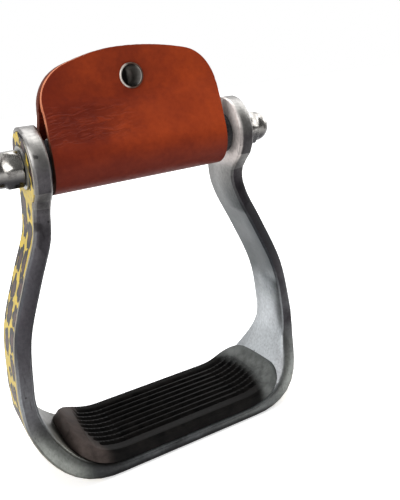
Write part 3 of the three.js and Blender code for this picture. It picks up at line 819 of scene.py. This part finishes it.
@dataclass(frozen=True)
class MouldedRubber:
    """Black moulded rubber, matt, with pale dust on the ridges and at each end a grey flat, part
    wear and part painted sheen, lighter on the right.
    """

    base: str = "#040404"
    dusty: str = "#262321"
    # End flats: wear and painted sheen, the painted sheen lighter on the right end.
    worn: str = "#7C7F7D"
    end_left_less_sheen: str = "#544A46"
    grain_mm: float = 0.5
    dust_mm: float = 5.0
    dust_share: Span = (0.35, 0.8)
    dust_light: Span = (0.0, 0.6)
    wear_and_sheen: Span = (0.35, 0.85)
    worn_mm: Span = (39.0, 44.5)
    worn_bow: float = 0.008
    end_sheen_turn_mm: Span = (-20.0, 20.0)
    corner_mm: float = 0.35
    rough: Span = (0.5, 0.66)

    def material(self) -> bpy.types.Material:
        """Build the finish.

        Returns:
            The material.
        """
        s = Surface("black_moulded_rubber")
        grain = s.add(Do.NOISE, Scale=1 / self.grain_mm, Detail=4.0)
        dust = s.add(Do.NOISE, Scale=1 / self.dust_mm, Detail=5.0, Roughness=0.65)
        bow = s.add(Do.TIMES, s.y, s.y)
        out = s.add(Do.SIZE, s.x)
        out = s.add(Do.TIMES_PLUS, bow, self.worn_bow, out)
        ends = s.add(Do.EASE, out, self.worn_mm)
        share = s.add(Do.RAMP, dust, self.dust_share, self.dust_light)
        # End flats: wear and painted sheen, the painted sheen lighter on the right end.
        wear_and_sheen = s.add(Do.RAMP, dust, NOISE_SPAN, self.wear_and_sheen)
        wear_and_sheen = s.add(Do.TIMES, wear_and_sheen, ends)
        right = s.add(Do.RAMP, s.x, self.end_sheen_turn_mm)
        end = s.add(Do.TONE, right, self.end_left_less_sheen, self.worn)
        tone = s.add(Do.TONE, share, self.base, self.dusty)
        tone = s.add(Do.TONE, wear_and_sheen, tone, end)
        relief = s.add(Do.ROUND, Radius=self.corner_mm * MM)
        relief = s.add(Do.BUMP, Height=grain, Strength=0.4, Distance=0.06 * MM, Normal=relief)
        rough = s.add(Do.RAMP, dust, NOISE_SPAN, self.rough)
        return s.feed(
            Base_Color=tone, Roughness=rough, IOR=1.5, Specular_IOR_Level=0.07, Normal=relief
        )


@dataclass
class NodeDress:
    """CAD nodes that keep their own shape and get a finish, smoothed where they are round."""

    finish: bpy.types.Material
    slot: str
    body: Body
    nodes: list[str]
    crease_degrees: float = 32.0
    weld_mm: float = 0.002
    edge_facing: Span = (0.5, 0.85)

    def smoothed(self, node: bpy.types.Object, name: str) -> bpy.types.Object:
        """Copy a CAD node with its loose triangles merged, so that round faces shade round.

        Args:
            node: The CAD node.
            name: The new piece's name.

        Returns:
            The piece.
        """
        work = bmesh.new()
        work.from_mesh(node.data)
        bmesh.ops.remove_doubles(work, verts=work.verts, dist=self.weld_mm * MM)
        bmesh.ops.dissolve_degenerate(work, edges=work.edges, dist=self.weld_mm * MM)
        mesh = bpy.data.meshes.new(name)
        work.to_mesh(mesh)
        work.free()
        shares = [float(eased(abs(f.normal.y), self.edge_facing)) for f in mesh.polygons]
        mesh.attributes.new(EDGE_SHARE, "FLOAT", "FACE").data.foreach_set("value", shares)
        mesh.shade_smooth()
        mesh.set_sharp_from_angle(angle=math.radians(self.crease_degrees))
        mesh.materials.clear()
        mesh.materials.append(self.finish)
        return place_in_scene(bpy.data.objects.new(name, mesh))

    def dress(self, cad: dict[str, bpy.types.Object]) -> None:
        """Dress every node of this group.

        Args:
            cad: The CAD nodes by name.
        """
        for name in self.nodes:
            piece = self.smoothed(cad[name], f"{name}_surface")
            for slot in cad[name].material_slots:
                slot.material = self.finish
            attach(piece, self.body.value)
            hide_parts(name)
            LOG.info("%s: finish %s", name, self.finish.name)


@dataclass
class LeatherCover:
    """The leather strip folded over the roller, its two plies clamped together by the rivet."""

    grain: bpy.types.Material
    edge: bpy.types.Material
    roller_mm: float = 9.0
    thickness_mm: float = 3.0
    ply_gap_mm: float = 0.4
    width_mm: float = 71.4
    top_mm: float = 38.2
    rivet_pinch_mm: float = 21.8
    end_pinch_mm: float = 25.0
    pinch_mm: Span = (7.0, 24.0)
    corner_mm: float = 15.0
    arch_mm: float = 105.0
    rivet_height_mm: float = 27.2
    hole_mm: float = 4.4
    hole_reach: float = 1.6
    slide_mm: float = 1.6
    slide_down_mm: Span = (20.0, -2.0)
    drop_mm: float = 1.5
    drop_left_mm: Span = (-6.0, -30.0)
    drop_up_mm: Span = (8.0, 24.0)
    swell_mm: float = 0.12
    swell_waves_mm: tuple[float, ...] = (6.1, 9.0, 7.3, 17.0)
    swell_bend: float = 1.3
    ripple_mm: float = 0.05
    ripple_waves_mm: tuple[float, ...] = (2.7, 3.1, 2.9, 5.2)
    ripple_turn: float = 0.6
    waves_from_mm: Span = (2.0, 11.0)
    crease_bow_mm: float = 0.5
    crease_wave_mm: float = 2.3
    crease_start_mm: Span = (0.0, 4.0)
    crease_end_mm: Span = (0.0, 6.0)
    clamped_mm: Span = (5.5, 10.5)
    soft_edge_mm: float = 0.5
    soft_edge_steps: int = 3
    soft_edge_degrees: float = 50.0
    run_mm: float = 4.0
    over_top_mm: float = 1.0
    curve_points: int = 200
    flap_rows: int = 56
    fold_rows: int = 48
    middle_columns: int = 60
    corner_columns: int = 14
    creases_mm: list[tuple[float, float, float, float, float, float]] = field(
        default_factory=lambda: [
            (-36.0, 9.0, -21.0, 12.6, 0.55, 0.16),
            (-35.5, 11.8, -17.0, 16.4, 0.5, 0.13),
            (-34.0, 7.0, -26.0, 9.0, 0.45, 0.1),
            (-24.0, 12.5, -9.0, 18.5, 0.6, 0.09),
            (-30.0, 15.0, -20.0, 18.5, 0.5, 0.07),
        ]
    )

    def corner_middle(self) -> tuple[float, float]:
        """Find the middle of the flap's rounded corner, from the bolt axis.

        Returns:
            Its place along the bolt and its height.
        """
        x = self.width_mm / 2 - self.corner_mm
        arch_middle = self.top_mm - self.arch_mm
        return x, arch_middle + math.sqrt((self.arch_mm - self.corner_mm) ** 2 - x**2)

    def columns(self) -> np.ndarray:
        """Place the columns along the bolt, closer together round the flap's corners.

        Returns:
            Places along the bolt, from left to right.
        """
        x = self.corner_middle()[0]
        start = math.asin(x / (self.arch_mm - self.corner_mm))
        turns = np.linspace(start, math.pi / 2, self.corner_columns + 1)
        ends = x + self.corner_mm * np.sin(turns)
        middle = np.linspace(-ends[0], ends[0], self.middle_columns + 1)
        return np.concatenate([-ends[:0:-1], middle, ends[1:]])

    def flap_top(self, x: float) -> float:
        """Give the height of the flap's outline.

        Args:
            x: The place along the bolt.

        Returns:
            The height above the bolt axis.
        """
        corner_x, corner_z = self.corner_middle()
        if abs(x) <= corner_x * self.arch_mm / (self.arch_mm - self.corner_mm):
            return self.top_mm - self.arch_mm + math.sqrt(self.arch_mm**2 - x**2)
        return corner_z + math.sqrt(max(self.corner_mm**2 - (abs(x) - corner_x) ** 2, 0.0))

    def side_line(self, x: float) -> np.ndarray:
        """Trace the middle of the leather from the back flap's top to the front flap's top.

        Args:
            x: The place along the bolt.

        Returns:
            Rows of depth and height from the bolt axis.
        """
        radius = self.roller_mm + self.thickness_mm / 2
        ply = (self.ply_gap_mm + self.thickness_mm) / 2
        share = float(eased(abs(x), self.pinch_mm))
        height = self.rivet_pinch_mm + (self.end_pinch_mm - self.rivet_pinch_mm) * share
        pinch = np.array([ply, height])
        reach = float(np.hypot(*pinch))
        leave_turn = math.atan2(pinch[0], pinch[1]) + math.acos(radius / reach)
        leave = radius * np.array([math.sin(leave_turn), math.cos(leave_turn)])
        top = np.array([ply, self.top_mm + self.over_top_mm])
        t = np.linspace(0, 1, self.curve_points)[:, None]
        run_in, run_out = (
            (end - pinch) * min(self.run_mm / float(np.linalg.norm(end - pinch)), 1.0) + pinch
            for end in (top, leave)
        )
        bend = (1 - t) ** 2 * run_in + 2 * t * (1 - t) * pinch + t**2 * run_out
        flap = np.concatenate([top + (run_in - top) * t, bend, run_out + (leave - run_out) * t])
        flap = flap[flap[:, 1] <= self.flap_top(x)]
        flap = self.spread(flap, self.flap_rows)
        turns = np.linspace(leave_turn, math.pi, self.fold_rows // 2 + 1)
        fold = radius * np.stack([np.sin(turns), np.cos(turns)], 1)
        half = np.concatenate([flap, fold[1:]])
        return np.concatenate([half, (half * [-1, 1])[-2::-1]])

    @staticmethod
    def spread(line: np.ndarray, count: int) -> np.ndarray:
        """Space points evenly along a line.

        Args:
            line: The line's points.
            count: How many points to return.

        Returns:
            The evenly spaced points.
        """
        steps = np.concatenate([[0.0], np.cumsum(np.hypot(*np.diff(line, axis=0).T))])
        at = np.linspace(0, steps[-1], count)
        return np.stack([np.interp(at, steps, line[:, i]) for i in range(2)], 1)

    def relief(self, place: np.ndarray, way: np.ndarray) -> np.ndarray:
        """Push the leather in along its creases and out in soft waves.

        Args:
            place: Places in millimetres from the bolt's middle.
            way: The outward direction at each place.

        Returns:
            The moved places.
        """
        x, y, z = place.T
        a, b, c, d = self.swell_waves_mm
        swell = np.sin(x / a + self.swell_bend * np.sin(z / b)) * np.sin(z / c + x / d)
        a, b, c, d = self.ripple_waves_mm
        ripple = np.sin(x / a + z / b) * np.sin(z / c - x / d + self.ripple_turn)
        waves = swell * self.swell_mm + ripple * self.ripple_mm
        move = waves * eased(z, self.waves_from_mm)
        front = y < 0
        for x0, z0, x1, z1, width, depth in self.creases_mm:
            along = np.array([x1 - x0, z1 - z0])
            length = float(np.hypot(*along))
            along = along / length
            bow = self.crease_bow_mm * np.sin(x / self.crease_wave_mm)
            t = (x - x0) * along[0] + (z - z0) * along[1]
            off = -(x - x0) * along[1] + (z - z0) * along[0] + bow
            fade = eased(t, self.crease_start_mm) * eased(length - t, self.crease_end_mm)
            move -= np.where(front, depth * fade * np.exp(-((off / width) ** 2)), 0.0)
        clamp = np.hypot(x, z - self.rivet_height_mm)
        move *= eased(clamp, self.clamped_mm)
        return place + way * move[:, None]

    def settle(self, place: np.ndarray) -> np.ndarray:
        """Slide the fold a little towards the left head, and drop the flap's left corner.

        Args:
            place: Places in millimetres from the bolt's middle.

        Returns:
            The moved places.
        """
        x, y, z = place.T
        slid = x - self.slide_mm * eased(z, self.slide_down_mm)
        dropped = z - self.drop_mm * eased(x, self.drop_left_mm) * eased(z, self.drop_up_mm)
        return np.stack([slid, y, dropped], -1)

    def build(self) -> bpy.types.Object:
        """Make the folded strip with its thickness, its hole and its soft edges.

        Returns:
            The piece.
        """
        columns = self.columns()
        lines = np.stack([self.side_line(x) for x in columns])
        wide, rows = lines.shape[:2]
        xs = np.repeat(columns[:, None], rows, 1)
        place = np.stack([xs, lines[..., 0], lines[..., 1]], -1)
        along = np.gradient(place, axis=1)
        across = np.gradient(place, axis=0)
        way = np.cross(across, along)
        way /= np.linalg.norm(way, axis=-1, keepdims=True)
        laid = self.settle(self.relief(place.reshape(-1, 3), way.reshape(-1, 3)))
        place = laid.reshape(place.shape)
        work = bmesh.new()
        uv = work.loops.layers.uv.new("UVMap")
        bolt = Vector(BOLT_MM)
        verts = [[work.verts.new((Vector(p) + bolt) * MM) for p in line] for line in place]
        for i in range(wide - 1):
            for j in range(rows - 1):
                corners = [(i, j), (i, j + 1), (i + 1, j + 1), (i + 1, j)]
                middle = np.mean([place[c] for c in corners], axis=0)
                if math.hypot(middle[0], middle[2] - self.rivet_height_mm) < self.hole_mm:
                    continue
                face = work.faces.new([verts[a][b] for a, b in corners])
                for loop, (a, b) in zip(face.loops, corners):
                    loop[uv].uv = (a / wide, b / rows)
        bmesh.ops.delete(work, geom=[v for v in work.verts if not v.link_faces], context="VERTS")
        middle = bolt + Vector((0, 0, self.rivet_height_mm))
        for vert in work.verts:
            away = Vector((vert.co.x / MM - middle.x, vert.co.z / MM - middle.z))
            if vert.is_boundary and away.length < self.hole_mm * self.hole_reach:
                away *= self.hole_mm / away.length
                vert.co.x = (middle.x + away.x) * MM
                vert.co.z = (middle.z + away.y) * MM
        mesh = bpy.data.meshes.new("leather_fold")
        work.to_mesh(mesh)
        work.free()
        piece = place_in_scene(bpy.data.objects.new("leather_fold", mesh))
        mesh.materials.append(self.grain)
        mesh.materials.append(self.edge)
        wall = piece.modifiers.new("thickness", "SOLIDIFY")
        wall.thickness = self.thickness_mm * MM
        wall.offset = 0.0
        wall.material_offset_rim = 1
        soft = piece.modifiers.new("soft_edges", "BEVEL")
        soft.width = self.soft_edge_mm * MM
        soft.segments = self.soft_edge_steps
        soft.angle_limit = math.radians(self.soft_edge_degrees)
        piece.data = plain_mesh(piece)
        piece.data.shade_smooth()
        return piece

    def flat_size(self) -> tuple[float, float, float]:
        """Measure the strip as it was cut, before it was folded.

        Returns:
            Its width, its length over the middle of the leather, and its area with round corners.
        """
        columns = self.columns()
        steps = [np.hypot(*np.diff(self.side_line(x), axis=0).T).sum() for x in columns]
        longest = float(max(steps)) * MM
        area = float(np.dot(np.convolve(steps, (0.5, 0.5), "valid"), np.diff(columns))) * MM**2
        return self.width_mm * MM, longest, area

    def dress(self) -> None:
        """Put the cover in the place of its CAD solid."""
        piece = self.build()
        width, length, area = self.flat_size()
        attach(piece, Body.COVER.value)
        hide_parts("leather_cover")
        LOG.info("leather_fold: cut %.4f x %.4f m, %.6f m2", width, length, area)


@dataclass
class HollowRivet:
    """The hollow rivet through both plies: a rolled rim, a barrel dark with painted shade and a
    closed back.
    """

    bright: bpy.types.Material
    inside: bpy.types.Material
    rim_mm: float = 4.3
    wire_mm: float = 0.5
    bore_mm: float = 3.8
    wall_mm: float = 0.3
    front_mm: float = -4.2
    back_mm: float = 5.2
    height_mm: float = 27.2
    rim_sides: int = 64
    wire_sides: int = 16
    bore_sides: int = 48
    crease_degrees: float = 40.0

    def tree(self) -> bpy.types.NodeTree:
        """Write the form as geometry nodes, turned about the Z axis with its front at zero.

        Returns:
            The node tree.
        """
        ring, finish = "GeometryNodeCurvePrimitiveCircle", "GeometryNodeSetMaterial"
        tree = bpy.data.node_groups.new("hollow_rivet_form", "GeometryNodeTree")
        for name in ("Rim Radius", "Wire Radius", "Bore Radius", "Wall", "Length"):
            tree.interface.new_socket(name, in_out="INPUT", socket_type="NodeSocketFloat")
        tree.interface.new_socket("Geometry", in_out="OUTPUT", socket_type="NodeSocketGeometry")
        size = add(tree, "NodeGroupInput").node.outputs
        circle = add(tree, ring, Resolution=self.rim_sides, Radius=size["Rim Radius"])
        wire = add(tree, ring, Resolution=self.wire_sides, Radius=size["Wire Radius"])
        foot = add(tree, Do.MINUS, size["Length"], size["Wire Radius"])
        rims = []
        for height in (size["Wire Radius"], foot):
            rim = add(tree, "GeometryNodeCurveToMesh", circle, wire)
            place = add(tree, Do.JOIN, Z=height)
            rim = add(tree, "GeometryNodeTransform", Geometry=rim, Translation=place)
            rims.append(add(tree, finish, Geometry=rim, Material=self.bright))
        half = add(tree, Do.TIMES_PLUS, size["Wall"], 0.5, size["Bore Radius"])
        tube = add(tree, ring, Resolution=self.bore_sides, Radius=half)
        wall = add(tree, "GeometryNodeCurvePrimitiveQuadrilateral", size["Wall"], size["Length"])
        barrel = add(tree, "GeometryNodeCurveToMesh", tube, wall)
        middle = add(tree, Do.TIMES, size["Length"], 0.5)
        middle = add(tree, Do.JOIN, Z=middle)
        barrel = add(tree, "GeometryNodeTransform", Geometry=barrel, Translation=middle)
        outer = add(tree, Do.PLUS, size["Bore Radius"], size["Wall"])
        sides, thick = self.bore_sides, size["Wall"]
        disc = add(tree, "GeometryNodeMeshCylinder", Vertices=sides, Radius=outer, Depth=thick)
        end = add(tree, Do.MINUS, size["Length"], size["Wall"])
        end = add(tree, Do.JOIN, Z=end)
        disc = add(tree, "GeometryNodeTransform", Geometry=disc, Translation=end)
        inner = add(tree, "GeometryNodeJoinGeometry").node
        for part in (barrel, disc):
            tree.links.new(part, inner.inputs[0])
        inner = add(tree, finish, Geometry=inner.outputs[0], Material=self.inside)
        whole = add(tree, "GeometryNodeJoinGeometry").node
        for part in (*rims, inner):
            tree.links.new(part, whole.inputs[0])
        real = add(tree, "GeometryNodeRealizeInstances", whole.outputs[0])
        add(tree, "NodeGroupOutput", real)
        return tree

    def dress(self) -> None:
        """Make the rivet and put it in the place of its CAD solid."""
        mesh = bpy.data.meshes.new("rolled_rivet")
        piece = place_in_scene(bpy.data.objects.new("rolled_rivet", mesh))
        form = piece.modifiers.new("form", "NODES")
        tree = self.tree()
        values = {
            "Rim Radius": self.rim_mm,
            "Wire Radius": self.wire_mm,
            "Bore Radius": self.bore_mm,
            "Wall": self.wall_mm,
            "Length": self.back_mm - self.front_mm,
        }
        form.node_group = tree
        for item in tree.interface.items_tree:
            if item.name in values:
                form[item.identifier] = values[item.name] * MM
        plain = plain_mesh(piece)
        plain.transform(Matrix.Rotation(math.radians(-90), 4, "X"))
        place = Vector(BOLT_MM) + Vector((0.0, self.front_mm, self.height_mm))
        plain.transform(Matrix.Translation(place * MM))
        plain.shade_smooth()
        plain.set_sharp_from_angle(angle=math.radians(self.crease_degrees))
        piece.data = plain
        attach(piece, Body.COVER.value)
        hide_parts("hollow_rivet")
        LOG.info("rolled_rivet: %d faces", len(plain.polygons))


@dataclass
class Studio:
    """A plain pale floor, soft lamps and a camera at the photograph's viewing angle."""

    floor_dark: str = "#EDEDED"
    floor_light: str = "#F4F4F4"
    floor_m: float = 4.0
    floor_z_m: float = -0.0005
    near_mm: Span = (110.0, 380.0)
    near_glow: Span = (0.58, 1.0)
    far_mm: Span = (0.0, 500.0)
    far_glow: float = 0.8
    room_glow: float = 0.42
    mirrored_from: Span = (-0.6, 0.7)
    mirrored_glow: Span = (0.12, 0.95)
    lamp_aim: Point = (0.0, 0.0, 0.08)
    lamps: tuple[tuple[str, Point, Span, float], ...] = (
        ("left_softbox", (-0.55, -0.25, 0.35), (0.5, 0.5), 2.6),
        ("right_softbox", (0.5, 0.1, 0.4), (0.4, 0.5), 1.6),
        ("top_softbox", (0.05, 0.1, 0.7), (0.6, 0.6), 3.2),
    )
    azimuth: float = 26.77
    elevation: float = 16.38
    roll: float = -7.12
    distance_mm: float = 252.24
    aim_mm: Point = (0.0, -8.6, 78.5)
    shift_mm: Span = (19.17, 3.81)
    focal_px: float = 603.6
    image_px: float = 500.0
    sensor_mm: float = 36.0

    def camera(self) -> None:
        """Set the camera up."""
        a, e, r = (math.radians(v) for v in (self.azimuth, self.elevation, self.roll))
        back = Vector((-math.sin(a) * math.cos(e), -math.cos(a) * math.cos(e), math.sin(e)))
        right = Vector((math.cos(a), -math.sin(a), 0.0))
        up = back.cross(right)
        place = Vector(self.aim_mm) + back * self.distance_mm
        place += right * self.shift_mm[0] + up * self.shift_mm[1]
        turned_right = right * math.cos(r) + up * math.sin(r)
        turned_up = up * math.cos(r) - right * math.sin(r)
        data = bpy.data.cameras.new("camera")
        data.sensor_fit = "VERTICAL"
        data.sensor_height = self.sensor_mm
        data.lens = self.focal_px / self.image_px * self.sensor_mm
        data.clip_start = 0.01
        rig = place_in_scene(bpy.data.objects.new("camera", data))
        frame = Matrix((turned_right, turned_up, back)).transposed().to_4x4()
        rig.matrix_world = Matrix.Translation(place * MM) @ frame
        bpy.context.scene.camera = rig

    def lamp(self, name: str, place: Point, size: Span, watts: float) -> None:
        """Hang one soft lamp that faces the middle of the stirrup.

        Args:
            name: The lamp's name.
            place: Its place.
            size: The width and height of its face.
            watts: Its power.
        """
        data = bpy.data.lights.new(name, "AREA")
        data.shape = "RECTANGLE"
        data.size, data.size_y = size
        data.energy = watts
        lamp = place_in_scene(bpy.data.objects.new(name, data))
        lamp.location = place
        away = Vector(place) - Vector(self.lamp_aim)
        lamp.rotation_euler = away.to_track_quat("Z", "Y").to_euler()

    def floor(self) -> None:
        """Lay the floor, pale to the camera and to reflections, with the object's shadow on it."""
        s = Surface("pale_floor")
        shade = s.add(Do.NOISE, Scale=0.004, Detail=2.0)
        tone = s.add(Do.TONE, shade, self.floor_dark, self.floor_light)
        s.feed(Base_Color=tone, Roughness=0.9, Specular_IOR_Level=0.1)
        rays = s.add(Do.RAYS).node.outputs
        seen = s.add(Do.LARGER, rays["Is Camera Ray"], rays["Is Transmission Ray"])
        away = s.add(Do.LENGTH, s.place_mm)
        near = s.add(Do.EASE, away, self.near_mm, self.near_glow)
        far = s.add(Do.EASE, s.y, self.far_mm, (0.0, self.far_glow))
        far = s.add(Do.TIMES, far, rays["Is Glossy Ray"])
        glow = s.add(Do.TIMES, seen, near)
        glow = s.add(Do.LARGER, glow, far)
        s.feed(Emission_Color=WHITE, Emission_Strength=glow)
        half, z = self.floor_m, self.floor_z_m
        mesh = bpy.data.meshes.new("floor")
        corners = [(-half, -half, z), (half, -half, z), (half, half, z), (-half, half, z)]
        mesh.from_pydata(corners, [], [(0, 1, 2, 3)])
        mesh.materials.append(s.material)
        place_in_scene(bpy.data.objects.new("floor", mesh))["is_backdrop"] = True

    def world(self) -> None:
        """Fill the room with plain light, white where the camera or a reflection sees it."""
        world = bpy.data.worlds.new("room")
        world.use_nodes = True
        tree = world.node_tree
        tree.nodes.clear()
        rays = add(tree, Do.RAYS).node.outputs
        seen = add(tree, Do.LARGER, rays["Is Camera Ray"], rays["Is Transmission Ray"])
        way = add(tree, "ShaderNodeTexCoord", out="Generated")
        depth = add(tree, Do.SPLIT, way, out=1)
        mirrored = add(tree, Do.EASE, depth, self.mirrored_from, self.mirrored_glow)
        glow = add(tree, Do.BLEND, rays["Is Glossy Ray"], self.room_glow, mirrored)
        strength = add(tree, Do.BLEND, seen, glow, 1.0)
        back = add(tree, "ShaderNodeBackground", Color=WHITE, Strength=strength)
        add(tree, "ShaderNodeOutputWorld", Surface=back)
        bpy.context.scene.world = world

    def build(self) -> None:
        """Set up floor, lamps, world and camera."""
        bpy.context.scene.view_settings.view_transform = "Standard"
        self.floor()
        self.world()
        for lamp in self.lamps:
            self.lamp(*lamp)
        self.camera()


def main() -> None:
    """Load the frame, dress it and set up the studio."""
    logging.basicConfig(level=logging.INFO, format="%(name)s: %(message)s")
    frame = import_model()
    cad = frame["nodes"]
    cad_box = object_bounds()
    zinc = ZincSteel().material()
    chrome = BrightChrome().material()
    steel = ["top_rod", "flat_washer_right", "flat_washer_left", "pad_plate"]
    steel += [f"pad_screw_{i}" for i in range(1, 5)]
    prints = ["overlay_right", "overlay_left"]
    nuts = ["acorn_nut_right", "acorn_nut_left"]
    bushes = ["roller_bush_right", "roller_bush_left"]
    groups = [
        NodeDress(CastAluminium().material(), "cast_aluminium", Body.STIRRUP, ["frame"]),
        NodeDress(LeopardResin().material(), "printed_resin", Body.STIRRUP, prints),
        NodeDress(chrome, "chrome_plate", Body.STIRRUP, nuts),
        NodeDress(zinc, "zinc_steel", Body.STIRRUP, steel),
        NodeDress(MouldedRubber().material(), "black_rubber", Body.STIRRUP, ["tread_pad"]),
        NodeDress(zinc, "zinc_steel", Body.ROLLER, ["roller_tube"]),
        NodeDress(BlackNylon().material(), "black_nylon", Body.ROLLER, bushes),
        NodeDress(chrome, "chrome_plate", Body.COVER, ["rivet_washer"]),
    ]
    for group in groups:
        group.dress(cad)
    LeatherCover(SaddleLeather().material(), CutLeather().material()).dress()
    # Rim with a painted highlight on its left; bore in painted shade with a painted highlight on
    # its right.
    rim = PlateWithPaintedLight("rivet_rim_painted_highlight", "#5B463C", "#CFC8C0", -1.0)
    bore = PlateWithPaintedLight("rivet_bore_painted_shade", "#1B1614", "#B5B0AA", 1.0)
    HollowRivet(rim.material(), bore.material()).dress()
    Studio().build()
    [[list(map(float, v)) for v in box] for box in (cad_box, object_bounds())]


if __name__ == "__main__":
    main()
